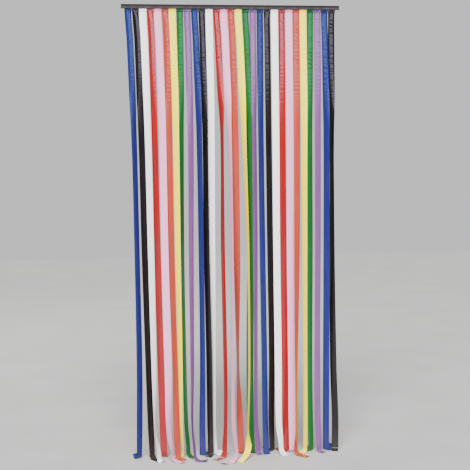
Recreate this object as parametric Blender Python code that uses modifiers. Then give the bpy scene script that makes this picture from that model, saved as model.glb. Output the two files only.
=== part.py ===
"""Strip door curtain: twenty-nine flat plastic ribbons hanging from a slim metal rail.

Units are metres, +X to the right, -Y towards the room, +Z up. The origin is the middle of the
rail's flat back face, which lies against the door frame. The ribbons reach the floor, where each
one ends in its own bend.
"""
import math

import bmesh
import bpy
from mathutils import Matrix, Vector

MM = 0.001

# Rail
RAIL_LENGTH = 1.000
RAIL_HEIGHT = 0.018
RAIL_DEPTH = 0.0145
CLEARANCE = 0.00035
BACK_BAR_DEPTH = 0.0065
TOP_FLANGE = 0.0015
LIP_HEIGHT = 0.0044
LIP_THICKNESS = 0.0015
CAP_THICKNESS = 0.002
CAP_DROP = 0.0015
CAP_CORNER = 0.003
CORNER_STEPS = 4

FRONT_STRIP_THICKNESS = 0.0012

# Clamp strip with its pressed tabs, and the ribbons' doubled heads behind it
HEAD_THICKNESS = 0.0020
HEAD_DEPTH = BACK_BAR_DEPTH + CLEARANCE + HEAD_THICKNESS / 2
CLAMP_THICKNESS = 0.0010
CLAMP_DEPTH = HEAD_DEPTH + HEAD_THICKNESS / 2 + CLEARANCE + CLAMP_THICKNESS / 2
TAB_WIDTH = 0.0125
TAB_DROP = 0.0050
TAB_STEPS = 6

# Ribbons
RIBBON_WIDTH = 0.0325
RIBBON_THICKNESS = 0.0010
RIBBON_PITCH = 0.03335
FIRST_RIBBON_X = -0.4682
FLOOR_Z = -2.080
WELD_BELOW_RAIL = 0.016
WELD_STEP = 0.0015
HANG_STEPS = 21
ARC_STEP_DEGREES = 14.0
TAIL_STEPS = 2
REACH_POWER = 1.5

# The table gives each ribbon's place and turn at these heights and at its foot. Just under the
# rail it has already made its early share of the first drift and turn.
STATION_HEIGHTS = (-0.56, -1.11, -1.66, -1.93)
EARLY_HEIGHT = -0.15
EARLY_DRIFT = 0.35
EARLY_TURN = 0.85

# Finishes: linear colour, roughness, metallic
RAIL_DARK = ((0.035, 0.030, 0.026), 0.45, 0.6)
RAIL_GREY = ((0.200, 0.200, 0.215), 0.38, 0.85)
CLAMP_DARK = ((0.018, 0.014, 0.016), 0.4, 0.7)
FILM_ROUGHNESS = 0.25
FILM_METALLIC = 0.0

COLOURS = {
    "blue": (0.030, 0.080, 0.340),
    "black": (0.012, 0.011, 0.012),
    "white": (0.820, 0.820, 0.850),
    "red": (0.620, 0.035, 0.040),
    "pink": (0.760, 0.480, 0.620),
    "salmon": (0.680, 0.150, 0.110),
    "yellow": (0.900, 0.760, 0.210),
    "green": (0.030, 0.240, 0.075),
    "violet": (0.330, 0.180, 0.480),
}

# One row for each ribbon, left to right.
# drift: how far it hangs to the right of its clamp, in millimetres, at the four heights and the foot.
# turn: how far its right edge swings forward there, in degrees.
# reach: how far forward the foot stands, in millimetres.
# bend: radius of the foot's bend in millimetres; sweep: its angle in degrees, negative when the
# foot bends towards the back; tail: what lies beyond the bend, in millimetres.
RIBBON_COLUMNS = ("colour", "drift", "turn", "reach", "bend", "sweep", "tail")
RIBBONS = (
    ("blue", (19, 25, 28, 24, 21), (-36, -40, -32, -33, -40), 0, 12, -150, 16),
    ("black", (19, 26, 36, 42, 46), (-24, -27, -31, -30, -38), 10, 22, 90, 40),
    ("white", (15, 21, 26, 28, 44), (-28, -31, -47, -74, -52), 62, 11, 130, 17),
    ("red", (12, 18, 26, 32, 35), (32, 27, 13, 18, 15), -5, 12, -80, 12),
    ("pink", (14, 17, 23, 21, 36), (22, 16, -15, -48, -66), 74, 34, 108, 16),
    ("salmon", (12, 15, 25, 27, 32), (-21, -25, -34, -20, -34), 22, 18, 84, 34),
    ("yellow", (9, 11, 16, 15, 23), (33, 42, 54, 62, 74), 0, 16, 100, 42),
    ("green", (2, 1, 4, 8, 16), (-41, -55, -52, -51, -50), 0, 25, 90, 15),
    ("violet", (10, 5, 2, -2, 7), (-29, -40, -55, -70, -64), 70, 28, 108, 26),
    ("blue", (15, 19, 20, 16, 17), (40, 45, 44, 35, 28), 0, 12, -120, 20),
    ("black", (9, 11, 18, 19, 21), (43, 41, 36, 40, 38), 5, 16, 80, 12),
    ("white", (5, 5, 7, 6, 8), (29, 46, 69, 73, 52), 0, 11, -128, 24),
    ("red", (19, 18, 23, 21, 16), (66, 61, 62, 64, 52), 40, 24, 92, 38),
    ("pink", (18, 23, 17, 17, 28), (60, 70, 72, 66, 68), 120, 42, 118, 22),
    ("salmon", (15, 19, 19, 28, 33), (5, 22, 74, 23, 15), 0, 12, -80, 12),
    ("yellow", (20, 33, 32, 23, 25), (55, 76, 83, 84, 42), 70, 60, 72, 34),
    ("green", (13, 15, 10, 11, 16), (43, 40, 0, 21, 18), -5, 12, -80, 12),
    ("violet", (5, 6, 4, 3, 12), (-40, -41, -48, -42, -35), 5, 14, 75, 14),
    ("blue", (2, 6, 12, 14, 17), (-28, -25, -25, -26, -20), 5, 12, 72, 8),
    ("black", (5, 10, 16, 13, 16), (-22, -22, -25, -26, -35), -16, 16, -115, 36),
    ("white", (4, 5, 9, 10, 19), (-5, -11, -7, -25, -42), 22, 30, 98, 18),
    ("red", (3, 5, 10, 11, 15), (-16, -16, -16, -22, -34), 0, 14, -100, 48),
    ("pink", (4, 4, 8, 9, 12), (-1, -3, -4, -10, -10), 0, 12, -75, 10),
    ("salmon", (3, -1, -8, -10, -15), (-16, -26, -57, -65, -48), 48, 22, 84, 48),
    ("yellow", (4, 5, 6, 7, 5), (37, 55, 64, 65, 66), 0, 14, 92, 44),
    ("green", (-2, -2, -5, -3, 0), (-29, -27, -26, -25, -32), 0, 14, -125, 26),
    ("violet", (2, 1, -3, -1, 5), (-18, -21, -20, -18, -34), 5, 15, 90, 20),
    ("blue", (9, 9, 7, 6, 6), (38, 38, 32, 37, 40), 0, 14, -135, 30),
    ("black", (1, 2, 8, 17, 16), (61, 56, 30, 24, 22), 0, 14, 60, 12),
)


def principled(name, colour, roughness, metallic):
    """A material of one finish."""
    made = bpy.data.materials.new(name)
    made.use_nodes = True
    shader = made.node_tree.nodes["Principled BSDF"]
    shader.inputs["Base Color"].default_value = (*colour, 1.0)
    shader.inputs["Roughness"].default_value = roughness
    shader.inputs["Metallic"].default_value = metallic
    return made


def outline_solid(name, outline, thickness, placed, finish, home):
    """A flat outline made into a plate or a bar: outline in its own X and Y, thickness along Z."""
    curve = bpy.data.curves.new(name, "CURVE")
    curve.dimensions = "2D"
    curve.fill_mode = "BOTH"
    curve.extrude = thickness / 2
    spline = curve.splines.new("POLY")
    spline.points.add(len(outline) - 1)
    for point, (across, up) in zip(spline.points, outline):
        point.co = (across, up, 0.0, 1.0)
    spline.use_cyclic_u = True
    piece = bpy.data.objects.new(name, curve)
    piece.matrix_world = placed
    piece.data.materials.append(finish)
    home.objects.link(piece)
    return piece


def section_placement(x):
    """Stands an outline of (depth from the wall, height) across the rail at x."""
    turned = Matrix(((0, 0, -1, 0), (-1, 0, 0, 0), (0, 1, 0, 0), (0, 0, 0, 1)))
    return Matrix.Translation((x, 0.0, 0.0)) @ turned


def front_placement(depth):
    """Stands an outline of (x, height) upright, facing the room, at a depth from the wall."""
    return Matrix.Translation((0.0, -depth, 0.0)) @ Matrix.Rotation(math.pi / 2, 4, "X")


def make_rail_channel(home):
    """The back bar with its top flange and the down-turned lip that shows as the dark top line."""
    top = RAIL_HEIGHT / 2
    bottom = -RAIL_HEIGHT / 2
    outline = (
        (0.0, bottom),
        (BACK_BAR_DEPTH, bottom),
        (BACK_BAR_DEPTH, top - TOP_FLANGE),
        (RAIL_DEPTH - LIP_THICKNESS, top - TOP_FLANGE),
        (RAIL_DEPTH - LIP_THICKNESS, top - LIP_HEIGHT),
        (RAIL_DEPTH, top - LIP_HEIGHT),
        (RAIL_DEPTH, top),
        (0.0, top),
    )
    finish = principled("rail_dark_metal", *RAIL_DARK)
    length = RAIL_LENGTH - 2 * (CAP_THICKNESS + CLEARANCE)
    return outline_solid("rail_channel", outline, length, section_placement(0.0), finish, home)


def make_front_strip(home):
    """The grey strip that slides in behind the lip and covers the clamp."""
    back = RAIL_DEPTH - LIP_THICKNESS - CLEARANCE - FRONT_STRIP_THICKNESS
    front = RAIL_DEPTH - LIP_THICKNESS - CLEARANCE
    proud = RAIL_DEPTH - CLEARANCE
    top = RAIL_HEIGHT / 2 - TOP_FLANGE - CLEARANCE
    shoulder = RAIL_HEIGHT / 2 - LIP_HEIGHT - CLEARANCE
    bottom = -RAIL_HEIGHT / 2
    outline = (
        (back, bottom),
        (proud, bottom),
        (proud, shoulder),
        (front, shoulder),
        (front, top),
        (back, top),
    )
    finish = principled("rail_grey_metal", *RAIL_GREY)
    length = RAIL_LENGTH - 2 * (CAP_THICKNESS + CLEARANCE)
    return outline_solid("rail_front_strip", outline, length, section_placement(0.0), finish, home)


def make_clamp_strip(home):
    """The dark strip behind the front one, with a rounded tab pressed over each ribbon's head."""
    half = RAIL_LENGTH / 2 - CAP_THICKNESS - CLEARANCE
    top = RAIL_HEIGHT / 2 - TOP_FLANGE - CLEARANCE
    edge = -RAIL_HEIGHT / 2
    outline = [(half, top), (-half, top), (-half, edge)]
    for number in range(len(RIBBONS)):
        middle = FIRST_RIBBON_X + number * RIBBON_PITCH
        for step in range(TAB_STEPS + 1):
            angle = math.pi * step / TAB_STEPS
            across = middle - TAB_WIDTH / 2 * math.cos(angle)
            outline.append((across, edge - TAB_DROP * math.sin(angle)))
    outline.append((half, edge))
    finish = principled("clamp_dark_metal", *CLAMP_DARK)
    placed = front_placement(CLAMP_DEPTH)
    return outline_solid("clamp_strip", outline, CLAMP_THICKNESS, placed, finish, home)


def make_end_cap(name, side, finish, home):
    """A thin plate with rounded front corners that closes one end of the rail."""
    top = RAIL_HEIGHT / 2
    bottom = -RAIL_HEIGHT / 2 - CAP_DROP
    outline = [(0.0, top), (0.0, bottom)]
    for corner_z, first in ((bottom + CAP_CORNER, -math.pi / 2), (top - CAP_CORNER, 0.0)):
        for step in range(CORNER_STEPS + 1):
            angle = first + math.pi / 2 * step / CORNER_STEPS
            depth = RAIL_DEPTH - CAP_CORNER + CAP_CORNER * math.cos(angle)
            outline.append((depth, corner_z + CAP_CORNER * math.sin(angle)))
    x = side * (RAIL_LENGTH - CAP_THICKNESS) / 2
    return outline_solid(name, outline, CAP_THICKNESS, section_placement(x), finish, home)


def smooth_value(heights, values, height):
    """A smooth curve through the stations' values, level at both ends."""
    slopes = [0.0]
    for before, after in zip(range(len(values) - 2), range(2, len(values))):
        slopes.append((values[after] - values[before]) / (heights[after] - heights[before]))
    slopes.append(0.0)
    for index in range(len(heights) - 1):
        upper, lower = heights[index], heights[index + 1]
        if height >= lower or index == len(heights) - 2:
            span = lower - upper
            t = min(1.0, max(0.0, (height - upper) / span))
            start = (1 + 2 * t) * (1 - t) ** 2 * values[index]
            start_slope = t * (1 - t) ** 2 * span * slopes[index]
            end = t * t * (3 - 2 * t) * values[index + 1]
            end_slope = t * t * (t - 1) * span * slopes[index + 1]
            return start + start_slope + end + end_slope


def foot_profile(row):
    """The foot's bend as (run, drop) pairs from where the ribbon leaves the vertical."""
    radius = row["bend"] * MM
    sweep = math.radians(abs(row["sweep"]))
    steps = max(2, round(math.degrees(sweep) / ARC_STEP_DEGREES))
    profile = []
    for step in range(1, steps + 1):
        angle = sweep * step / steps
        profile.append((radius * (1 - math.cos(angle)), radius * math.sin(angle)))
    end_run, end_drop = profile[-1]
    for step in range(1, TAIL_STEPS + 1):
        along = row["tail"] * MM * step / TAIL_STEPS
        profile.append((end_run + along * math.sin(sweep), end_drop + along * math.cos(sweep)))
    return profile


def ribbon_stations(row, clamp_x):
    """The ribbon's middle line and the direction across it, from its head to its tip."""
    head_top = RAIL_HEIGHT / 2 - TOP_FLANGE - CLEARANCE
    weld = -RAIL_HEIGHT / 2 - WELD_BELOW_RAIL
    profile = foot_profile(row)
    lowest = max(drop for run, drop in profile) + RIBBON_THICKNESS / 2
    tip_fall = profile[-1][1] - profile[-2][1]
    tip_run = profile[-1][0] - profile[-2][0]
    if profile[-1][1] >= lowest - RIBBON_THICKNESS / 2 and tip_fall > 0:
        level = tip_run / math.hypot(tip_run, tip_fall)
        lowest = profile[-1][1] + RIBBON_THICKNESS / 2 * level
    foot_z = FLOOR_Z + lowest
    fall = weld - foot_z
    heights = (weld, EARLY_HEIGHT, *STATION_HEIGHTS, foot_z)
    drifts = (0.0, EARLY_DRIFT * row["drift"][0] * MM, *(value * MM for value in row["drift"]))
    turns = (0.0, EARLY_TURN * math.radians(row["turn"][0]), *map(math.radians, row["turn"]))
    foot_turn = turns[-1]

    def middle_at(height):
        share = (weld - height) / fall
        forward = row["reach"] * MM * share ** REACH_POWER if share > 0 else 0.0
        return Vector((clamp_x + smooth_value(heights, drifts, height), -HEAD_DEPTH - forward, height))

    places = [Vector((clamp_x, -HEAD_DEPTH, head_top)), Vector((clamp_x, -HEAD_DEPTH, weld + WELD_STEP))]
    angles = [0.0, 0.0]
    for step in range(HANG_STEPS + 1):
        height = weld - fall * step / HANG_STEPS
        places.append(middle_at(height))
        angles.append(smooth_value(heights, turns, height))
    heading = Vector((-math.sin(foot_turn), -math.cos(foot_turn), 0.0))
    if row["sweep"] < 0:
        heading.negate()
    start = places[-1].copy()
    for run, drop in profile:
        places.append(start + heading * run - Vector((0.0, 0.0, drop)))
        angles.append(foot_turn)
    across = [Vector((math.cos(angle), -math.sin(angle), 0.0)) for angle in angles]
    return places, across


def make_ribbon(name, row, clamp_x, finish, home):
    """One ribbon: an open strip given its thickness, doubled above the weld at its head."""
    places, across = ribbon_stations(row, clamp_x)
    strip = bmesh.new()
    edges = []
    for place, side in zip(places, across):
        left = strip.verts.new(place - side * RIBBON_WIDTH / 2)
        right = strip.verts.new(place + side * RIBBON_WIDTH / 2)
        edges.append((left, right))
    for (left, right), (lower_left, lower_right) in zip(edges, edges[1:]):
        strip.faces.new((left, lower_left, lower_right, right))
    mesh = bpy.data.meshes.new(name)
    strip.to_mesh(mesh)
    strip.free()
    mesh.materials.append(finish)
    piece = bpy.data.objects.new(name, mesh)
    home.objects.link(piece)
    doubled = piece.vertex_groups.new(name="doubled_head")
    doubled.add([0, 1, 2, 3], 1.0, "REPLACE")
    sheet = piece.modifiers.new("sheet thickness", "SOLIDIFY")
    sheet.thickness = HEAD_THICKNESS
    sheet.offset = 0.0
    sheet.vertex_group = doubled.name
    sheet.thickness_vertex_group = RIBBON_THICKNESS / HEAD_THICKNESS
    return piece


def main():
    for old in list(bpy.data.objects):
        bpy.data.objects.remove(old, do_unlink=True)
    home = bpy.data.collections.new("ribbon door curtain")
    bpy.context.scene.collection.children.link(home)
    channel = make_rail_channel(home)
    make_front_strip(home)
    make_clamp_strip(home)
    for name, side in (("end_cap_left", -1), ("end_cap_right", 1)):
        make_end_cap(name, side, channel.data.materials[0], home)
    finishes = {}
    for name, colour in COLOURS.items():
        finishes[name] = principled("ribbon_" + name, colour, FILM_ROUGHNESS, FILM_METALLIC)
    for number, values in enumerate(RIBBONS):
        row = dict(zip(RIBBON_COLUMNS, values))
        name = f"ribbon_{number + 1:02d}_{row['colour']}"
        clamp_x = FIRST_RIBBON_X + number * RIBBON_PITCH
        make_ribbon(name, row, clamp_x, finishes[row["colour"]], home)


main()
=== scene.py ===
"""Strip door curtain: twenty-nine glossy plastic ribbons clamped side by side in a slim metal rail.

Metres, +X to the right along the rail, -Y towards the room, +Z up. The origin is the middle of the
rail's flat back face. The ribbons reach the floor, where each one ends in its own bend.
"""

import math

import bpy
import numpy as np
from mathutils import Matrix, Vector


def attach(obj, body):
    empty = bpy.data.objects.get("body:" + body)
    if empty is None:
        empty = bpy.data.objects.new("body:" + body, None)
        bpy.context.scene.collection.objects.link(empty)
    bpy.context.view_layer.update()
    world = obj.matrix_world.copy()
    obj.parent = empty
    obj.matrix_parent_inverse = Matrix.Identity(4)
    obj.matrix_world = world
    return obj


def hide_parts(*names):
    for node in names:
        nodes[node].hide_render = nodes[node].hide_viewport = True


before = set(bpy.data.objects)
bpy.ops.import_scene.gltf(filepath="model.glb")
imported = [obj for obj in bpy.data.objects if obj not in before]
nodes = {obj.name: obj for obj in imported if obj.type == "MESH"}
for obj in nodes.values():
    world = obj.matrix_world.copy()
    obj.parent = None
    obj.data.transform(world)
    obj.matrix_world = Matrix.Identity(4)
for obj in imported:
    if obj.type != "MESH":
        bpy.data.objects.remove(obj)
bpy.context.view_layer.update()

# The camera stands at eye height a little left of the curtain's left edge and looks slightly down
# and to the right. Its long lens keeps the ribbons' sides nearly parallel.
EYE = (-0.6026, -4.8833, -0.6284)
YAW, PITCH, ROLL = math.radians(7.155), math.radians(-4.803), math.radians(-0.449)
SENSOR_MM, LENS_MM = 36.0, 81.5
lens = bpy.data.cameras.new("eye_height_camera")
lens.sensor_width = SENSOR_MM
lens.lens = LENS_MM
camera = bpy.data.objects.new("eye_height_camera", lens)
turned = Matrix.Rotation(-YAW, 4, "Z") @ Matrix.Rotation(math.pi / 2 + PITCH, 4, "X")
camera.matrix_world = Matrix.Translation(EYE) @ turned @ Matrix.Rotation(ROLL, 4, "Z")
bpy.context.scene.collection.objects.link(camera)
bpy.context.scene.camera = camera


# The rail's back channel and its two end caps: folded and stamped metal with a dark bronze paint,
# screwed to the door frame. The paint is satin, thin along the edges and dusty on top. The
# channel's very dark lip, which shows above the front strip, is also a painted shadow: it stands
# for the rail's shadow on the wall above it.
def place(tree, kind, sockets=None, **settings):
    """A node with its settings, its sockets set to values or joined to other sockets."""
    made = tree.nodes.new(kind)
    for name, value in settings.items():
        setattr(made, name, value)
    for name, value in (sockets or {}).items():
        if isinstance(value, bpy.types.NodeSocket):
            tree.links.new(value, made.inputs[name])
        else:
            made.inputs[name].default_value = value
    return made


def start_group(name, takes, gives):
    """An empty shader node group with named inputs and outputs."""
    group = bpy.data.node_groups.new(name, "ShaderNodeTree")
    for label, kind, value in takes:
        socket = group.interface.new_socket(label, in_out="INPUT", socket_type=kind)
        socket.default_value = value
    for label, kind in gives:
        group.interface.new_socket(label, in_out="OUTPUT", socket_type=kind)
    inward = group.nodes.new("NodeGroupInput").outputs
    outward = group.nodes.new("NodeGroupOutput").inputs
    return group, inward, outward


def blend(tree, share, low, high, kind="MIX"):
    """A colour between two others."""
    made = place(tree, "ShaderNodeMix", {0: share}, data_type="RGBA", blend_type=kind)
    for index, value in ((6, low), (7, high)):
        if isinstance(value, bpy.types.NodeSocket):
            tree.links.new(value, made.inputs[index])
        else:
            made.inputs[index].default_value = value
    return made.outputs[2]


def reckon(tree, kind, first, second=0.0, clamped=False):
    """One step of arithmetic."""
    sockets = {0: first, 1: second}
    return place(tree, "ShaderNodeMath", sockets, operation=kind, use_clamp=clamped).outputs[0]


def plus(tree, first, second, clamped=False):
    """Two values added."""
    return reckon(tree, "ADD", first, second, clamped)


def times(tree, first, second):
    """Two values multiplied."""
    return reckon(tree, "MULTIPLY", first, second)


def apart(tree, first, second):
    """How far two values are from each other."""
    return reckon(tree, "ABSOLUTE", reckon(tree, "SUBTRACT", first, second))


def ramp(tree, value, low, high, to_low=0.0, to_high=1.0):
    """A value carried smoothly from one range to another, and held beyond it."""
    sockets = {"Value": value, "From Min": low, "From Max": high}
    sockets.update({"To Min": to_low, "To Max": to_high})
    return place(tree, "ShaderNodeMapRange", sockets, interpolation_type="SMOOTHSTEP").outputs[0]


def noise(tree, vector, scale, detail=2.0, roughness=0.5):
    """Soft noise from 0 to 1."""
    sockets = {"Vector": vector, "Scale": scale, "Detail": detail, "Roughness": roughness}
    return place(tree, "ShaderNodeTexNoise", sockets).outputs[0]


def stretched(tree, vector, scale):
    """Coordinates scaled by a different amount along each direction."""
    sockets = {0: vector, 1: scale}
    return place(tree, "ShaderNodeVectorMath", sockets, operation="MULTIPLY").outputs[0]


# What every finish gives to its shader.
FINISH_OUTPUTS = (
    ("Color", "NodeSocketColor"),
    ("Roughness", "NodeSocketFloat"),
    ("Height", "NodeSocketFloat"),
)

# The rail metal's marks. First how fine they are: brushing runs along the rail, and patches,
# scuffs and grain are even. Then distances in metres: how far wear reaches in from an edge, how far
# painted shade with grime reaches below the lip and painted shade above the lower edge, and how
# much each line wanders.
BRUSHING = (14.0, 900.0, 2600.0)
PATCHES, SCUFFS, FINE_GRAIN = 46.0, 190.0, 620.0
EDGE_WEAR, EDGE_WANDER = (0.0004, 0.0013), 0.0011
LIP_SHADE_AND_GRIME, LIP_WANDER = (0.0034, 0.0082), 0.002
LOW_EDGE_SHADE = (0.0006, 0.0026)
BRUSHED_DARK = (0.0, 0.0, 0.0, 1.0)
SHADE_AND_GRIME_BROWN = (0.010, 0.007, 0.005, 1.0)

metal, takes, gives = start_group(
    "rail metal",
    (
        ("Finish", "NodeSocketColor", (0.1, 0.1, 0.1, 1.0)),
        ("Bare", "NodeSocketColor", (0.6, 0.6, 0.6, 1.0)),
        ("Dust", "NodeSocketColor", (0.4, 0.37, 0.33, 1.0)),
        ("Roughness", "NodeSocketFloat", 0.4),
        ("Grain", "NodeSocketFloat", 0.5),
        ("Wear", "NodeSocketFloat", 0.3),
        ("Shade And Grime", "NodeSocketFloat", 0.0),
        ("Low Edge", "NodeSocketFloat", -0.009),
        ("High Edge", "NodeSocketFloat", 0.009),
    ),
    FINISH_OUTPUTS,
)
where = metal.nodes.new("ShaderNodeTexCoord").outputs["Object"]
height = place(metal, "ShaderNodeSeparateXYZ", {0: where}).outputs["Z"]
outward = metal.nodes.new("ShaderNodeNewGeometry").outputs["Normal"]
upward = place(metal, "ShaderNodeSeparateXYZ", {0: outward}).outputs["Z"]
brushed = noise(metal, stretched(metal, where, BRUSHING), 1.0, detail=3.0, roughness=0.6)
patches = noise(metal, where, PATCHES, detail=4.0, roughness=0.6)
fine = noise(metal, where, FINE_GRAIN)
scuffs = ramp(metal, noise(metal, where, SCUFFS, detail=3.0, roughness=0.6), 0.42, 0.62)

# Bare metal shows where an edge has been rubbed. Below the lip the colour is darkened by painted
# shade with some grime, and along the lower edge by painted shade.
to_low = apart(metal, height, takes["Low Edge"])
to_high = apart(metal, height, takes["High Edge"])
to_edge = plus(metal, reckon(metal, "MINIMUM", to_low, to_high), times(metal, patches, EDGE_WANDER))
rubbed = times(metal, ramp(metal, to_edge, *EDGE_WEAR, 1.0, 0.0), scuffs)
rubbed = times(metal, rubbed, takes["Wear"])
from_lip = plus(metal, to_high, times(metal, patches, LIP_WANDER))
under_lip = ramp(metal, from_lip, *LIP_SHADE_AND_GRIME, 1.0, 0.0)
shaded_and_grimy = reckon(metal, "MAXIMUM", under_lip, ramp(metal, to_low, *LOW_EDGE_SHADE, 0.5, 0.0))
dust_patches = ramp(metal, patches, 0.25, 0.7, 0.25, 0.75)
dusty = times(metal, ramp(metal, upward, 0.5, 0.95), dust_patches)
toned = blend(metal, ramp(metal, brushed, 0.3, 0.7, 0.0, 0.35), takes["Finish"], BRUSHED_DARK)
toned = blend(metal, ramp(metal, patches, 0.35, 0.75, 0.0, 0.10), toned, takes["Bare"])
toned = blend(metal, rubbed, toned, takes["Bare"])
# Painted shade: the colour darkens below the lip, with some grime, and along the lower edge.
toned = blend(metal, times(metal, shaded_and_grimy, takes["Shade And Grime"]), toned, SHADE_AND_GRIME_BROWN)
metal.links.new(blend(metal, dusty, toned, takes["Dust"]), gives["Color"])
rough = plus(metal, takes["Roughness"], ramp(metal, patches, 0.3, 0.7, -0.05, 0.09))
metal.links.new(plus(metal, rough, times(metal, dusty, 0.35), clamped=True), gives["Roughness"])
grained = plus(metal, brushed, times(metal, fine, 0.5))
metal.links.new(times(metal, grained, takes["Grain"]), gives["Height"])

METAL_IOR = 1.30
METAL_RELIEF, METAL_RELIEF_DEPTH = 0.25, 0.0002


def metal_finish(name, finish, bare, edges, roughness, metallic, grain, wear, shade_and_grime):
    """A rail metal: finish, grain, worn edges, and painted shade with grime near its edges."""
    made = bpy.data.materials.new(name)
    made.use_nodes = True
    tree = made.node_tree
    shader = tree.nodes["Principled BSDF"]
    part = place(tree, "ShaderNodeGroup", node_tree=metal)
    values = {"Finish": (*finish, 1.0), "Bare": (*bare, 1.0), "Roughness": roughness}
    values.update({"Grain": grain, "Wear": wear, "Shade And Grime": shade_and_grime})
    values.update({"Low Edge": edges[0], "High Edge": edges[1]})
    for label, value in values.items():
        part.inputs[label].default_value = value
    tree.links.new(part.outputs["Color"], shader.inputs["Base Color"])
    tree.links.new(part.outputs["Roughness"], shader.inputs["Roughness"])
    relief = {"Strength": METAL_RELIEF, "Distance": METAL_RELIEF_DEPTH}
    bump = place(tree, "ShaderNodeBump", {"Height": part.outputs["Height"], **relief})
    tree.links.new(bump.outputs[0], shader.inputs["Normal"])
    shader.inputs["Metallic"].default_value = metallic
    shader.inputs["IOR"].default_value = METAL_IOR
    return made


RAIL_BOTTOM, RAIL_TOP = -0.009, 0.009
LIP_BOTTOM = 0.0046
CAP_BOTTOM, CAP_TOP = -0.0096, 0.0105
# Very dark: along the lip that shows above the front strip this paint is also a painted shadow.
BRONZE_PAINT_AND_SHADOW = (0.008, 0.005, 0.001)
CAP_PAINT = (0.050, 0.034, 0.024)
BARE_STEEL = (0.10, 0.08, 0.06)
bronze_and_shadow = metal_finish(
    "dark bronze paint and shadow", BRONZE_PAINT_AND_SHADOW, BARE_STEEL, (LIP_BOTTOM, RAIL_TOP),
    roughness=0.66, metallic=0.0, grain=0.3, wear=0.25, shade_and_grime=0.0,
)
# The caps' colour darkens near their top and bottom edges: painted shade with some grime.
cap_bronze = metal_finish(
    "bronze cap paint", CAP_PAINT, BARE_STEEL, (CAP_BOTTOM, CAP_TOP),
    roughness=0.60, metallic=0.0, grain=0.3, wear=0.3, shade_and_grime=1.0,
)
nodes["rail_channel"].material_slots[0].material = bronze_and_shadow
for cap in ("end_cap_left", "end_cap_right"):
    nodes[cap].material_slots[0].material = cap_bronze

# The front strip: a rolled aluminium strip with a grey anodised finish, slid in behind the
# channel's lip. It hides the clamp, and its brushing runs along the rail.
ANODISED_GREY = (0.030, 0.025, 0.029)
BARE_ALUMINIUM = (0.30, 0.30, 0.32)
# The strip's colour darkens below the channel's lip and along its lower edge: painted shade, with
# some grime below the lip.
anodised = metal_finish(
    "grey anodised strip", ANODISED_GREY, BARE_ALUMINIUM, (RAIL_BOTTOM, LIP_BOTTOM),
    roughness=0.52, metallic=0.35, grain=1.0, wear=0.20, shade_and_grime=0.85,
)
nodes["rail_front_strip"].material_slots[0].material = anodised

# The clamp strip: thin spring steel, blackened, with a rounded tab for each ribbon. Each ribbon's
# doubled head is threaded over its tab, so the tab itself is covered and stands out as a low bulge.
TAB_TIP = -0.014
BLACKENED = (0.006, 0.005, 0.007)
BARE_SPRING_STEEL = (0.08, 0.07, 0.08)
blackened = metal_finish(
    "blackened clamp", BLACKENED, BARE_SPRING_STEEL, (TAB_TIP, 0.0),
    roughness=0.50, metallic=0.15, grain=0.4, wear=0.2, shade_and_grime=0.0,
)
nodes["clamp_strip"].material_slots[0].material = blackened

# The ribbons: flat strips of calendered plastic film in nine colours, each folded double at its
# head over a tab of the clamp and welded across. Film off a roll keeps a curl across its width,
# strongest near the clamp, and small cross marks from the rollers. It hangs down to the floor.
MM = 0.001
RIBBON_WIDTH = 0.0325
RIBBON_PITCH = 0.03335
FIRST_RIBBON_X = -0.4682
FLOOR_Z = -2.080
FILM_THICKNESS = 0.0004

# The doubled head inside the rail and just below it: how deep in the rail it hangs, its top and
# thickness, the lower end of the doubled part, and the weld across it.
HEAD_DEPTH = 0.00785
HEAD_TOP = 0.00715
HEAD_THICKNESS = 0.0011
FOLD_Z = -0.025
WELD_Z = -0.0228

# Where the hanging line is given: the table's four heights, and further heights above and below
# them at which the film has made a share of its drift or turn. At the upper height its turn is
# part of the first turn and part of the lead. The reach forward grows by a power of the drop.
STATION_HEIGHTS = (-0.56, -1.11, -1.66, -1.93)
EARLY_HEIGHT, EARLY_DRIFT = -0.15, 0.35
LEAD_HEIGHT = -0.06
UPPER_HEIGHT, UPPER_TURN, UPPER_LEAD = -0.34, 0.25, 0.75
LATE_HEIGHT, LATE_SHARE = -1.975, 0.15
REACH_POWER = 1.5

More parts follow.
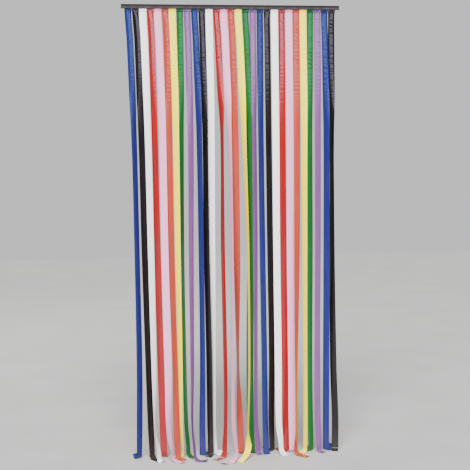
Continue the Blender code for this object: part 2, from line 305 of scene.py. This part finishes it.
# One row for each ribbon, left to right. drift: how far it hangs to the right of its clamp, in
# millimetres, at the four heights and the foot; turn: how far its right edge swings forward there,
# in degrees; reach, bend, sweep, tail: how far forward the foot stands, and the radius, angle and
# straight end of its bend; lead and curl: its turn near the clamp, and how far its edges turn back
# there, in degrees; ripple, pinch and seam: millimetres of cross marks, clamp creases and the step
# in below the weld.
RIBBON_COLUMNS = (
    "drift", "turn", "reach", "bend", "sweep", "tail", "lead", "curl", "ripple", "pinch", "seam",
)
RIBBONS = (
    # The first run of the nine colours, blue to violet.
    ((19, 25, 28, 24, 21), (-36, -40, -32, -33, -40), 0, 12, -150, 16, 7, 40, 0.10, 0.5, 0.3),
    ((19, 26, 36, 42, 46), (-24, -27, -31, -30, -38), 10, 22, 90, 40, 15, 43, 0.06, 0.5, 0.3),
    ((15, 21, 26, 28, 44), (-28, -31, -47, -74, -52), 62, 11, 130, 17, -6, 19, 0.10, 0.6, 0.3),
    ((12, 18, 26, 32, 35), (32, 27, 13, 18, 15), -5, 12, -80, 12, 10, 40, 0.06, 0.7, 0.3),
    ((14, 17, 23, 21, 36), (22, 16, -15, -48, -66), 74, 34, 108, 16, -3, 24, 0.12, 0.5, 0.3),
    ((12, 15, 25, 27, 32), (-21, -25, -34, -20, -34), 22, 18, 84, 34, 18, 39, 0.26, 0.8, 0.3),
    ((9, 11, 16, 15, 23), (33, 42, 54, 62, 74), 0, 16, 100, 42, -3, 23, 0.16, 0.4, 0.3),
    ((2, 1, 4, 8, 16), (-41, -55, -52, -51, -50), 0, 25, 90, 15, 5, 37, 0.20, 1.2, 0.9),
    ((10, 5, 2, -2, 7), (-29, -40, -55, -70, -64), 70, 28, 108, 26, 0, 42, 0.12, 1.6, 0.5),
    # The second run.
    ((15, 19, 20, 16, 17), (40, 45, 44, 35, 28), 0, 12, -120, 20, 0, 42, 0.20, 1.2, 0.3),
    ((9, 11, 18, 19, 21), (43, 41, 36, 40, 38), 5, 16, 80, 12, -1, 43, 0.16, 1.0, 0.3),
    ((5, 5, 7, 6, 8), (29, 46, 69, 73, 52), 0, 11, -128, 24, -3, 17, 0.14, 0.8, 0.3),
    ((19, 18, 23, 21, 16), (66, 61, 62, 64, 52), 40, 24, 92, 38, 0, 40, 0.12, 1.6, 0.9),
    ((18, 23, 17, 17, 28), (60, 70, 72, 66, 68), 120, 42, 118, 22, -2, 24, 0.16, 1.2, 0.6),
    ((15, 19, 19, 28, 33), (5, 22, 74, 23, 15), 0, 12, -80, 12, 9, 42, 0.30, 1.6, 0.9),
    ((20, 33, 32, 23, 25), (55, 76, 83, 84, 42), 70, 60, 72, 34, 1, 27, 0.14, 0.6, 0.3),
    ((13, 15, 10, 11, 16), (43, 40, 0, 21, 18), -5, 12, -80, 12, 0, 42, 0.22, 1.4, 0.9),
    ((5, 6, 4, 3, 12), (-40, -41, -48, -42, -35), 5, 14, 75, 14, -1, 37, 0.12, 1.4, 0.6),
    # The third run, and a blue and a black to end.
    ((2, 6, 12, 14, 17), (-28, -25, -25, -26, -20), 5, 12, 72, 8, -1, 42, 0.24, 1.2, 0.8),
    ((5, 10, 16, 13, 16), (-22, -22, -25, -26, -35), -16, 16, -115, 36, -12, 42, 0.16, 0.8, 0.3),
    ((4, 5, 9, 10, 19), (-5, -11, -7, -25, -42), 22, 30, 98, 18, 0, 16, 0.12, 0.6, 0.3),
    ((3, 5, 10, 11, 15), (-16, -16, -16, -22, -34), 0, 14, -100, 48, 0, 41, 0.19, 1.0, 1.5),
    ((4, 4, 8, 9, 12), (-1, -3, -4, -10, -10), 0, 12, -75, 10, 1, 23, 0.22, 0.8, 0.3),
    ((3, -1, -8, -10, -15), (-16, -26, -57, -65, -48), 48, 22, 84, 48, 5, 30, 0.30, 1.0, 0.3),
    ((4, 5, 6, 7, 5), (37, 55, 64, 65, 66), 0, 14, 92, 44, 2, 27, 0.16, 0.6, 0.3),
    ((-2, -2, -5, -3, 0), (-29, -27, -26, -25, -32), 0, 14, -125, 26, -1, 39, 0.25, 0.9, 1.3),
    ((2, 1, -3, -1, 5), (-18, -21, -20, -18, -34), 5, 15, 90, 20, 2, 28, 0.16, 1.2, 0.3),
    ((9, 9, 7, 6, 6), (38, 38, 32, 37, 40), 0, 14, -135, 30, -4, 38, 0.18, 0.9, 1.4),
    ((1, 2, 8, 17, 16), (61, 56, 30, 24, 22), 0, 14, 60, 12, -5, 42, 0.17, 0.9, 1.2),
)

# Two salmon ribbons keep a crease from the roll. By the ribbon's number: the height and the place
# across (-1 to 1) where it starts, the same where it ends, and how many millimetres it stands out.
CREASES = {6: (-0.25, 0.72, -0.43, 0.86, 0.9), 15: (-0.23, 0.74, -0.47, -0.30, 1.3)}

# Where two ribbons' near edges meet, the right one hangs behind the left one. By the right one's
# number: how many millimetres behind, and down to which height.
BEHIND = {8: (4.0, -1.60), 12: (2.5, -0.50), 18: (4.5, -0.46), 29: (4.0, -0.60)}

# The nine colours in the order they hang. For each, the film and the tint of its gloss, linear, and
# how strong that gloss is.
FILM_COLOURS = {
    "blue": ((0.013, 0.015, 0.108), (0.26, 0.72, 1.00), 0.50),
    "black": ((0.0048, 0.0038, 0.0035), (0.92, 0.86, 1.00), 0.52),
    "white": ((0.880, 0.880, 0.900), (1.00, 1.00, 1.00), 0.50),
    "red": ((0.270, 0.0050, 0.0045), (0.92, 0.86, 1.00), 0.90),
    "pink": ((0.800, 0.320, 0.530), (1.00, 0.90, 1.00), 0.50),
    "salmon": ((0.365, 0.040, 0.023), (1.00, 0.90, 0.95), 0.52),
    "yellow": ((0.960, 0.780, 0.006), (1.00, 1.00, 0.90), 0.50),
    "green": ((0.009, 0.090, 0.013), (0.16, 0.85, 0.82), 0.48),
    "violet": ((0.160, 0.053, 0.196), (0.92, 0.95, 1.00), 0.72),
}

# The film's marks, laid out along each ribbon: across from 0 to 1, and along in metres from its
# head. The fold and the weld lie near the head, roller marks fade below it, dust is near the floor.
# First how fine they are across the ribbon, along it, and from one colour's seed to the next.
STREAKS, CLOUDS, CROSS_MARKS = (34.0, 1.6, 5.0), (1.4, 7.0, 5.0), (1.1, 150.0, 5.0)
GRIT, SCRATCHES = (40.0, 1300.0, 5.0), (60.0, 9.0, 9.0)
CUT_EDGE = (0.485, 0.498)
FOLD_END = (0.0295, 0.0330)
WELD_ALONG, WELD_HALF = 0.0300, 0.0018
WELD_SHADE_TONE = (0.45, 0.42, 0.42, 1.0)
ROLLER_MARKS_FADE = (0.30, 0.70)
FLOOR_DUST = (1.93, 2.16)

film, takes, gives = start_group(
    "plastic film",
    (
        ("Film", "NodeSocketColor", (0.5, 0.5, 0.5, 1.0)),
        ("Thin Film", "NodeSocketColor", (0.7, 0.7, 0.7, 1.0)),
        ("Dust", "NodeSocketColor", (0.50, 0.44, 0.37, 1.0)),
        ("Roughness", "NodeSocketFloat", 0.2),
        ("Seed", "NodeSocketFloat", 0.0),
    ),
    FINISH_OUTPUTS,
)
laid = place(film, "ShaderNodeUVMap", uv_map="along_film").outputs[0]
laid = place(film, "ShaderNodeSeparateXYZ", {0: laid})
across, along = laid.outputs["X"], laid.outputs["Y"]
sockets = {"X": across, "Y": along, "Z": takes["Seed"]}
laid = place(film, "ShaderNodeCombineXYZ", sockets).outputs[0]
streaks = noise(film, stretched(film, laid, STREAKS), 1.0, detail=3.0, roughness=0.6)
clouds = noise(film, stretched(film, laid, CLOUDS), 1.0, detail=3.0, roughness=0.55)
cross_marks = noise(film, stretched(film, laid, CROSS_MARKS), 1.0, roughness=0.6)
grit = noise(film, stretched(film, laid, GRIT), 1.0)
scratch = noise(film, stretched(film, laid, SCRATCHES), 1.0, detail=4.0, roughness=0.7)
scratch = ramp(film, scratch, 0.66, 0.74)

# The film is paler where it is thin, in streaks, clouds and at its cut edges. Near the head its
# colour is deepened, partly because the film is doubled there and partly as painted shade under
# the rail. The darker line at the weld is painted shade in the weld's groove.
thin = ramp(film, streaks, 0.35, 0.75, 0.0, 0.16)
thin = plus(film, thin, ramp(film, clouds, 0.35, 0.70, 0.0, 0.14))
cut_edge = ramp(film, apart(film, across, 0.5), *CUT_EDGE)
thin = plus(film, thin, times(film, cut_edge, 0.35), clamped=True)
toned = blend(film, thin, takes["Film"], takes["Thin Film"])
# Painted shade under the rail, with the doubled film's deeper colour.
doubled_and_shaded = ramp(film, along, *FOLD_END, 0.55, 0.0)
toned = blend(film, doubled_and_shaded, toned, toned, "MULTIPLY")
# Painted shade: a darker line in the weld's groove.
weld = ramp(film, apart(film, along, WELD_ALONG), 0.0, WELD_HALF, 1.0, 0.0)
toned = blend(film, times(film, weld, 0.45), toned, WELD_SHADE_TONE, "MULTIPLY")
dust_clouds = ramp(film, clouds, 0.3, 0.75, 0.25, 1.0)
near_floor = times(film, ramp(film, along, *FLOOR_DUST), dust_clouds)
dusty = plus(film, times(film, near_floor, 0.05), times(film, scratch, 0.05))
film.links.new(blend(film, dusty, toned, takes["Dust"]), gives["Color"])
rough = plus(film, takes["Roughness"], ramp(film, streaks, 0.3, 0.7, -0.04, 0.06))
rough = plus(film, rough, times(film, scratch, 0.12))
film.links.new(plus(film, rough, times(film, near_floor, 0.08), clamped=True), gives["Roughness"])
relief = times(film, cross_marks, ramp(film, along, *ROLLER_MARKS_FADE, 1.0, 0.06))
relief = plus(film, relief, times(film, streaks, 0.30))
relief = plus(film, relief, times(film, grit, 0.02))
film.links.new(relief, gives["Height"])

# How far thin film pales, and the gloss that all nine colours share.
PALED, PALING_POWER = 0.22, 0.4
FILM_ROUGHNESS = 0.15
FILM_IOR = 1.40
FILM_COAT, FILM_COAT_ROUGHNESS = 0.08, 0.08
FILM_RELIEF, FILM_RELIEF_DEPTH = 0.5, 0.0006
SEED_STEP = 3.7
film_materials = {}
for seed, (colour, (body, tint, gloss)) in enumerate(FILM_COLOURS.items()):
    made = bpy.data.materials.new("glossy film " + colour)
    made.use_nodes = True
    tree = made.node_tree
    shader = tree.nodes["Principled BSDF"]
    part = place(tree, "ShaderNodeGroup", node_tree=film)
    paled = [tone + PALED * (1.0 - tone) * tone ** PALING_POWER for tone in body]
    part.inputs["Film"].default_value = (*body, 1.0)
    part.inputs["Thin Film"].default_value = (*paled, 1.0)
    part.inputs["Roughness"].default_value = FILM_ROUGHNESS
    part.inputs["Seed"].default_value = SEED_STEP * seed
    tree.links.new(part.outputs["Color"], shader.inputs["Base Color"])
    tree.links.new(part.outputs["Roughness"], shader.inputs["Roughness"])
    sockets = {"Strength": FILM_RELIEF, "Distance": FILM_RELIEF_DEPTH}
    bump = place(tree, "ShaderNodeBump", {"Height": part.outputs["Height"], **sockets})
    tree.links.new(bump.outputs[0], shader.inputs["Normal"])
    shader.inputs["IOR"].default_value = FILM_IOR
    shader.inputs["Specular Tint"].default_value = (*tint, 1.0)
    shader.inputs["Specular IOR Level"].default_value = gloss
    shader.inputs["Coat Weight"].default_value = FILM_COAT
    shader.inputs["Coat Roughness"].default_value = FILM_COAT_ROUGHNESS
    film_materials[colour] = made


def eased(heights, values, at):
    """A smooth curve through the stations' values, level at both ends."""
    heights, values = np.array(heights), np.array(values)
    slopes = np.zeros(len(values))
    slopes[1:-1] = (values[2:] - values[:-2]) / (heights[2:] - heights[:-2])
    index = np.clip(np.searchsorted(-heights, -at, side="right") - 1, 0, len(heights) - 2)
    span = heights[index + 1] - heights[index]
    t = np.clip((at - heights[index]) / span, 0.0, 1.0)
    start = (1 + 2 * t) * (1 - t) ** 2 * values[index] + t * (1 - t) ** 2 * span * slopes[index]
    end = t * t * (3 - 2 * t) * values[index + 1] + t * t * (t - 1) * span * slopes[index + 1]
    return start + end


def rise(at, low, high):
    """From 0 to 1 between two places, smoothly."""
    t = np.clip((at - low) / (high - low), 0.0, 1.0)
    return t * t * (3 - 2 * t)


# The mesh's rows down a ribbon lie closest over the tab and the weld, close where it is rippled and
# wider below. Its columns lie closer at the edges.
HEAD_ROWS = (np.linspace(HEAD_TOP, -0.004, 3), np.linspace(-0.0070, -0.0270, 26))
RIPPLED_ROWS = np.arange(-0.0290, -0.46, -0.0026)
PLAIN_TOP, PLAIN_ROWS = -0.475, 60
BEND_ROW_DEGREES, FEWEST_BEND_ROWS, TAIL_ROWS = 4, 6, 7
ACROSS = np.array((0.06, 0.18, 0.30, 0.42, 0.54, 0.68, 0.83, 0.96, 1.0))
ACROSS = np.concatenate((-ACROSS[::-1], ACROSS))
UP = np.array((0.0, 0.0, 1.0))

# A foot's bend clears the floor by half the thickness of the ribbon's solid.
SOLID_HALF = 0.0005


def foot_bend(row):
    """A foot's bend and straight end: how far they run out and drop, their tilts and their top."""
    radius, sweep = row["bend"] * MM, math.radians(abs(row["sweep"]))
    rows = max(FEWEST_BEND_ROWS, round(math.degrees(sweep) / BEND_ROW_DEGREES))
    tilts = np.linspace(0.0, sweep, rows + 1)[1:]
    run = radius * (1 - np.cos(tilts))
    drop = radius * np.sin(tilts)
    tail = np.linspace(0.0, row["tail"] * MM, TAIL_ROWS + 1)[1:]
    run = np.append(run, run[-1] + tail * math.sin(sweep))
    drop = np.append(drop, drop[-1] + tail * math.cos(sweep))
    tilts = np.append(tilts, np.full(len(tail), sweep))
    lowest = max(drop.max() + SOLID_HALF, drop[-1] + SOLID_HALF * math.sin(sweep))
    return run, drop, tilts, FLOOR_Z + lowest


def film_line(row, clamp_x):
    """A ribbon's middle line: places, turn, tilt in the foot's bend, and distance from the head."""
    run, drop, tilts, foot_z = foot_bend(row)
    plain_rows = np.linspace(PLAIN_TOP, foot_z, PLAIN_ROWS)
    heights = np.concatenate((*HEAD_ROWS, RIPPLED_ROWS, plain_rows))
    hung = heights < FOLD_Z
    drift_stations = (FOLD_Z, EARLY_HEIGHT, *STATION_HEIGHTS, foot_z)
    drifts = (0.0, EARLY_DRIFT * row["drift"][0] * MM, *(value * MM for value in row["drift"]))
    x = clamp_x + np.where(hung, eased(drift_stations, drifts, heights), 0.0)
    share = np.where(hung, (FOLD_Z - heights) / (FOLD_Z - foot_z), 0.0)
    y = -HEAD_DEPTH - row["reach"] * MM * share ** REACH_POWER
    *hanging_turns, foot_turn = row["turn"]
    upper_turn = UPPER_TURN * hanging_turns[0] + UPPER_LEAD * row["lead"]
    late_turn = (1.0 - LATE_SHARE) * hanging_turns[-1] + LATE_SHARE * foot_turn
    turns = (0.0, row["lead"], upper_turn, *hanging_turns, late_turn, foot_turn)
    turn_stations = (RAIL_BOTTOM, LEAD_HEIGHT, UPPER_HEIGHT, *STATION_HEIGHTS, LATE_HEIGHT, foot_z)
    turn = np.where(heights < RAIL_BOTTOM, eased(turn_stations, turns, heights), 0.0)
    places = np.stack((x, y, heights), 1)
    foot_turn = math.radians(foot_turn)
    forward = np.array((-math.sin(foot_turn), -math.cos(foot_turn), 0.0))
    forward = forward * math.copysign(1.0, row["sweep"])
    bent = places[-1] + run[:, None] * forward - drop[:, None] * UP
    places = np.concatenate((places, bent))
    turn = np.append(np.radians(turn), np.full(len(run), foot_turn))
    tilt = np.append(np.zeros(len(heights)), tilts)
    gone = np.append(0.0, np.cumsum(np.linalg.norm(np.diff(places, axis=0), axis=1)))
    return places, turn, tilt, gone


# The curl across the film grows under the rail, eases down the drop and is nearly gone at the
# floor. Each pair is the depths below the rail's middle between which it does so, and the single
# values are the shares that it loses there.
CURL_GROWS = (0.009, 0.030)
CURL_EASES, CURL_EASED = (0.22, 0.70), 0.75
CURL_FLATTENS, CURL_FLATTENED = (1.75, 2.03), 0.9
LEAST_CURL = 0.01


def curled(row, z, u):
    """How far a curled film's points lie to the side of its middle line, and stand out from it."""
    curl = rise(-z, *CURL_GROWS) * (1.0 - CURL_EASED * rise(-z, *CURL_EASES))
    curl = curl * (1.0 - CURL_FLATTENED * rise(-z, *CURL_FLATTENS))
    curl = np.radians(row["curl"]) * curl
    nearly_flat = np.abs(curl) < LEAST_CURL
    curl = np.where(nearly_flat, math.copysign(LEAST_CURL, row["curl"]), curl)[:, None]
    sideways = RIBBON_WIDTH / 2 * np.sin(curl * u) / curl
    stand = RIBBON_WIDTH / 2 / curl * (np.cos(curl * u) - np.sin(curl) / curl)
    return sideways, stand


# The clamp's pull leaves a crease on each side that starts near the edge and runs in towards the
# middle. Depths are shares of PULL_DEPTH under the rail, and places across run from the middle
# (0) to an edge (1).
PULL_DEPTH = 0.055
PINCH_INNER, PINCH_FLARE, PINCH_RUN_IN, PINCH_WIDTH = 0.34, 0.62, 0.18, 0.11
PINCH_STARTS, PINCH_ENDS = (0.0, 0.06), (0.35, 1.0)


def pinched(row, below, u):
    """How far the clamp's two creases stand out."""
    from_crease = np.abs(u) - PINCH_INNER - PINCH_FLARE * np.exp(-below / PINCH_RUN_IN)
    crease = np.exp(-((from_crease / PINCH_WIDTH) ** 2)) * rise(below, *PINCH_STARTS)
    return row["pinch"] * MM * crease * (1 - rise(below, *PINCH_ENDS))


# The weld is a band pressed thinner. Below it the single film steps in and comes back slowly.
WELD_BAND, WELD_THINNED = 0.0016, 0.25
STEP_ABOVE, STEP_BELOW = 0.0024, 0.0016
STEP_RETURNS = (0.03, 0.20)
FOLD_ABOVE, FOLD_BELOW = 0.0024, 0.0006


def stepped(row, z):
    """How far the film steps in below the weld."""
    step = rise(-z, -WELD_Z - STEP_ABOVE, -WELD_Z + STEP_BELOW) * (1.0 - rise(-z, *STEP_RETURNS))
    return row["seam"] * MM * step[:, None]


def film_thickness(z):
    """Doubled film at the head, single film below the fold, thinner at the weld."""
    single = rise(-z, -FOLD_Z - FOLD_ABOVE, -FOLD_Z + FOLD_BELOW)
    thickness = FILM_THICKNESS + (HEAD_THICKNESS - FILM_THICKNESS) * (1.0 - single)
    weld = np.exp(-(((z - WELD_Z) / WELD_BAND) ** 2))[:, None]
    return thickness[:, None] * (1.0 - WELD_THINNED * weld)


# Cross marks: ripples of four lengths, and dents one to three centimetres apart. They lean a
# little, are stronger on one side, and show from just under the clamp to half a metre down.
RIPPLE_LENGTHS = (0.0118, 0.0173, 0.0251, 0.043)
RIPPLE_LEAN, RIPPLE_SHARES, RIPPLES_SHOWN = 0.35, (0.35, 1.0), 0.7
FIRST_DENT, LAST_DENT, DENT_GAPS = -0.040, -0.44, (0.011, 0.026)
DENT_LEAN, DENT_HEIGHT, DENT_DEPTHS = 0.0025, 0.0028, (0.8, 3.2)
MARKS_START, MARKS_EASE, MARKS_END = (0.03, 0.06), (0.20, 0.34), (0.34, 0.55)
MARKS_STRENGTH, MARKS_EASED = 1.4, 0.6
EVEN_SHARE, ONE_SIDED_SHARE = 0.65, 0.35


def cross_marked(row, z, u, chance):
    """How far the ripples and dents across the film stand out."""
    waves = np.zeros((len(z), 1))
    for length in RIPPLE_LENGTHS:
        leaning = z[:, None] / length + chance.uniform(-RIPPLE_LEAN, RIPPLE_LEAN) * u
        leaning = leaning + chance.uniform(0, 1)
        waves = waves + np.sin(2 * math.pi * leaning) * chance.uniform(*RIPPLE_SHARES)
    waves = waves * row["ripple"] * RIPPLES_SHOWN
    dent = FIRST_DENT
    while dent > LAST_DENT:
        reach = (z[:, None] - dent - chance.uniform(-DENT_LEAN, DENT_LEAN) * u) / DENT_HEIGHT
        waves = waves - row["ripple"] * chance.uniform(*DENT_DEPTHS) * np.exp(-(reach ** 2))
        dent = dent - chance.uniform(*DENT_GAPS)
    shown = MARKS_STRENGTH * rise(-z, *MARKS_START) * (1.0 - MARKS_EASED * rise(-z, *MARKS_EASE))
    shown = shown * (1.0 - rise(-z, *MARKS_END))
    stronger_side = math.copysign(1.0, chance.uniform(-1, 1))
    return waves * MM * shown[:, None] * (EVEN_SHARE + ONE_SIDED_SHARE * u * stronger_side)


# A crease from the roll wanders a little and fades at both ends, over these distances.
CREASE_WIDTH = 0.20
CREASE_WANDER, CREASE_WANDER_LENGTH = 0.10, 0.037
CREASE_STARTS, CREASE_ENDS = (-0.02, 0.04), (-0.06, 0.02)


def roll_creased(number, z, u):
    """How far a crease from the roll stands out, on a ribbon that has one."""
    if number not in CREASES:
        return 0.0
    top, start, low, end, height = CREASES[number]
    line = start + (end - start) * rise(-z, -top, -low)
    line = line + CREASE_WANDER * np.sin(z * 2 * math.pi / CREASE_WANDER_LENGTH)
    started = rise(-z, -top + CREASE_STARTS[0], -top + CREASE_STARTS[1])
    ended = rise(-z, -low + CREASE_ENDS[0], -low + CREASE_ENDS[1])
    shown = started * (1.0 - ended)
    return height * MM * np.exp(-(((u - line[:, None]) / CREASE_WIDTH) ** 2)) * shown[:, None]


# The front layer bulges over the tab: half its width, how far it reaches below the rail and how far
# it stands out. A ribbon that hangs behind its neighbour leaves the clamp's line and comes back.
POUCH_HALF, POUCH_DROP, POUCH_DEPTH = 0.0094, 0.0078, 0.0030
POUCH_ROUNDNESS, POUCH_STARTS = 0.55, (-0.022, -0.002)
BEHIND_STARTS, BEHIND_RETURN = (0.03, 0.13), 0.30


def tab_pouch(below, sideways):
    """How far the front layer stands out over the tab."""
    over_tab = 1.0 - (sideways / POUCH_HALF) ** 2 - (below * PULL_DEPTH / POUCH_DROP) ** 2
    bulge = np.maximum(over_tab, 0.0) ** POUCH_ROUNDNESS
    return POUCH_DEPTH * bulge * rise(below, *POUCH_STARTS)


def hung_behind(number, z):
    """How far a ribbon hangs behind its neighbour."""
    behind, until = BEHIND.get(number, (0.0, -1.0))
    back_in_line = rise(-z, -until, -until + BEHIND_RETURN)
    return (behind * MM * rise(-z, *BEHIND_STARTS) * (1.0 - back_in_line))[:, None]


# The film's rim and its two faces meet at a sharp edge.
SHARP_ANGLE = math.radians(50)


def closed_film(name, outer, inner, gone):
    """A closed mesh from the film's two faces, with its layout along the film."""
    rows, columns = outer.shape[:2]
    count = rows * columns
    grid = np.arange(count).reshape(rows, columns)
    back = grid + count
    outer_faces = np.stack((grid[:-1, :-1], grid[1:, :-1], grid[1:, 1:], grid[:-1, 1:]), 2)
    inner_faces = np.stack((back[:-1, :-1], back[:-1, 1:], back[1:, 1:], back[1:, :-1]), 2)
    rim = np.concatenate((grid[:, 0], grid[-1, 1:], grid[-2::-1, -1], grid[0, -2:0:-1]))
    after = np.roll(rim, -1)
    rim_faces = np.stack((rim, rim + count, after + count, after), 1)
    faces = (outer_faces.reshape(-1, 4), inner_faces.reshape(-1, 4), rim_faces)
    points = np.concatenate((outer, inner)).reshape(-1, 3)
    mesh = bpy.data.meshes.new(name)
    mesh.from_pydata(points.tolist(), [], np.concatenate(faces).tolist())
    mesh.update()
    flat = np.stack(np.broadcast_arrays((ACROSS[None, :] + 1) / 2, gone[:, None]), 2)
    flat = np.concatenate((flat, flat)).reshape(-1, 2)
    corners = np.zeros(len(mesh.loops), dtype=int)
    mesh.loops.foreach_get("vertex_index", corners)
    mesh.uv_layers.new(name="along_film").data.foreach_set("uv", flat[corners].ravel())
    mesh.shade_smooth()
    mesh.set_sharp_from_angle(angle=SHARP_ANGLE)
    return mesh


def film_sheet(name, row, clamp_x, number):
    """One ribbon: its film hung from the clamp, curled, creased and marked, and how long it is."""
    places, turn, tilt, gone = film_line(row, clamp_x)
    z = np.where(tilt > 0.0, FLOOR_Z, places[:, 2])
    level = np.zeros(len(turn))
    across = np.stack((np.cos(turn), -np.sin(turn), level), 1)
    front = np.stack((-np.sin(turn), -np.cos(turn), level), 1)
    side = math.copysign(1.0, row["sweep"])
    facing = front * np.cos(tilt)[:, None] + side * np.sin(tilt)[:, None] * UP
    u = ACROSS[None, :]
    below = ((RAIL_BOTTOM - z) / PULL_DEPTH)[:, None]
    sideways, stand = curled(row, z, u)
    stand = stand + pinched(row, below, u) - stepped(row, z) + roll_creased(number, z, u)
    waves = cross_marked(row, z, u, np.random.default_rng(number))
    middle = places[:, None, :] + sideways[:, :, None] * across[:, None, :]
    middle = middle + (stand + waves)[:, :, None] * facing[:, None, :]
    middle[:, :, 1] += hung_behind(number, z)
    normal = np.cross(np.gradient(middle, axis=0), np.gradient(middle, axis=1))
    normal = normal / np.linalg.norm(normal, axis=2)[:, :, None]
    normal = normal * np.sign(np.sum(normal * facing[:, None, :], axis=2))[:, :, None]
    half_film = normal * film_thickness(z)[:, :, None] / 2
    pouch = facing[:, None, :] * tab_pouch(below, sideways)[:, :, None]
    mesh = closed_film(name, middle + half_film + pouch, middle - half_film, gone)
    mesh.materials.append(film_materials[row["colour"]])
    sheet = bpy.data.objects.new(name, mesh)
    bpy.context.scene.collection.objects.link(sheet)
    return sheet, float(gone[-1])


colours = list(FILM_COLOURS)
for number, values in enumerate(RIBBONS, start=1):
    row = dict(zip(RIBBON_COLUMNS, values), colour=colours[(number - 1) % len(colours)])
    node = f"ribbon_{number:02d}_{row['colour']}"
    film_name = f"film_{number:02d}_{row['colour']}"
    clamp_x = FIRST_RIBBON_X + (number - 1) * RIBBON_PITCH
    sheet, length = film_sheet(film_name, row, clamp_x, number)
    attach(sheet, "root")
    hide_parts(node)

# The floor under the feet: a plain pale sheet of studio card, and the soft lights round it. The
# key light is a long, low panel in front, like a row of windows. Its reflection is the sheen on the
# ribbons' upper part.
FLOOR_HALF = 9.0
FLOOR_GAP = 0.0006
CARD_DARKER, CARD_LIGHTER = (0.44, 0.43, 0.42, 1.0), (0.47, 0.46, 0.45, 1.0)
CARD_ROUGHNESS = 0.75
floor_mesh = bpy.data.meshes.new("pale_floor")
corners = [(x * FLOOR_HALF, y * FLOOR_HALF) for x, y in ((-1, -1), (1, -1), (1, 1), (-1, 1))]
floor_mesh.from_pydata([(x, y, FLOOR_Z - FLOOR_GAP) for x, y in corners], [], [(0, 1, 2, 3)])
floor = bpy.data.objects.new("pale_floor", floor_mesh)
bpy.context.scene.collection.objects.link(floor)
card = bpy.data.materials.new("pale card")
card.use_nodes = True
card_tree = card.node_tree
card_shader = card_tree.nodes["Principled BSDF"]
card_place = card_tree.nodes.new("ShaderNodeTexCoord").outputs["Object"]
card_tone = ramp(card_tree, noise(card_tree, card_place, 3.0, detail=4.0), 0.3, 0.7)
card_colour = blend(card_tree, card_tone, CARD_DARKER, CARD_LIGHTER)
card_tree.links.new(card_colour, card_shader.inputs["Base Color"])
card_shader.inputs["Roughness"].default_value = CARD_ROUGHNESS
floor_mesh.materials.append(card)

# Name, place, what it is aimed at, width and height, tint and watts.
LAMPS = (
    ("window_panel", (1.15, -3.4, 0.33), (1.15, 0.0, 0.0), (6.0, 0.9), (0.90, 0.90, 1.00), 92.0),
    ("back_panel", (-1.5, 4.0, 1.6), (0.0, 0.0, -1.0), (3.0, 2.0), (1.00, 1.00, 1.00), 80.0),
)
for name, spot, aim, size, tint, power in LAMPS:
    light = bpy.data.lights.new(name, "AREA")
    light.shape = "RECTANGLE"
    light.size, light.size_y = size
    light.color = tint
    light.energy = power
    lamp = bpy.data.objects.new(name, light)
    lamp.rotation_euler = (Vector(aim) - Vector(spot)).to_track_quat("-Z", "Y").to_euler()
    lamp.location = spot
    lamp.visible_camera = False
    bpy.context.scene.collection.objects.link(lamp)

# A broad, soft light falls from above and in front, as from a bright ceiling.
CEILING_STRENGTH = 8.1
CEILING_SPREAD = math.radians(38)
CEILING_LEAN, CEILING_SWING = math.radians(51), math.radians(-10)
ceiling_light = bpy.data.lights.new("ceiling_light", "SUN")
ceiling_light.energy = CEILING_STRENGTH
ceiling_light.angle = CEILING_SPREAD
ceiling = bpy.data.objects.new("ceiling_light", ceiling_light)
ceiling.rotation_euler = (CEILING_LEAN, 0.0, CEILING_SWING)
bpy.context.scene.collection.objects.link(ceiling)

# The pale room gives a little light from all round. What the camera sees of it is lighter.
ROOM_TINT, ROOM_STRENGTH = (0.86, 0.87, 0.90, 1.0), 0.25
SEEN_TINT, SEEN_STRENGTH = (0.86, 0.86, 0.87, 1.0), 0.86
world = bpy.data.worlds.new("pale_room")
bpy.context.scene.world = world
world.use_nodes = True
room = world.node_tree
room_light = room.nodes["Background"]
room_light.inputs["Color"].default_value = ROOM_TINT
room_light.inputs["Strength"].default_value = ROOM_STRENGTH
seen = place(room, "ShaderNodeBackground", {"Color": SEEN_TINT, "Strength": SEEN_STRENGTH})
mixed = place(room, "ShaderNodeMixShader")
room.links.new(room.nodes.new("ShaderNodeLightPath").outputs["Is Camera Ray"], mixed.inputs[0])
room.links.new(room_light.outputs[0], mixed.inputs[1])
room.links.new(seen.outputs[0], mixed.inputs[2])
room.links.new(mixed.outputs[0], room.nodes["World Output"].inputs["Surface"])
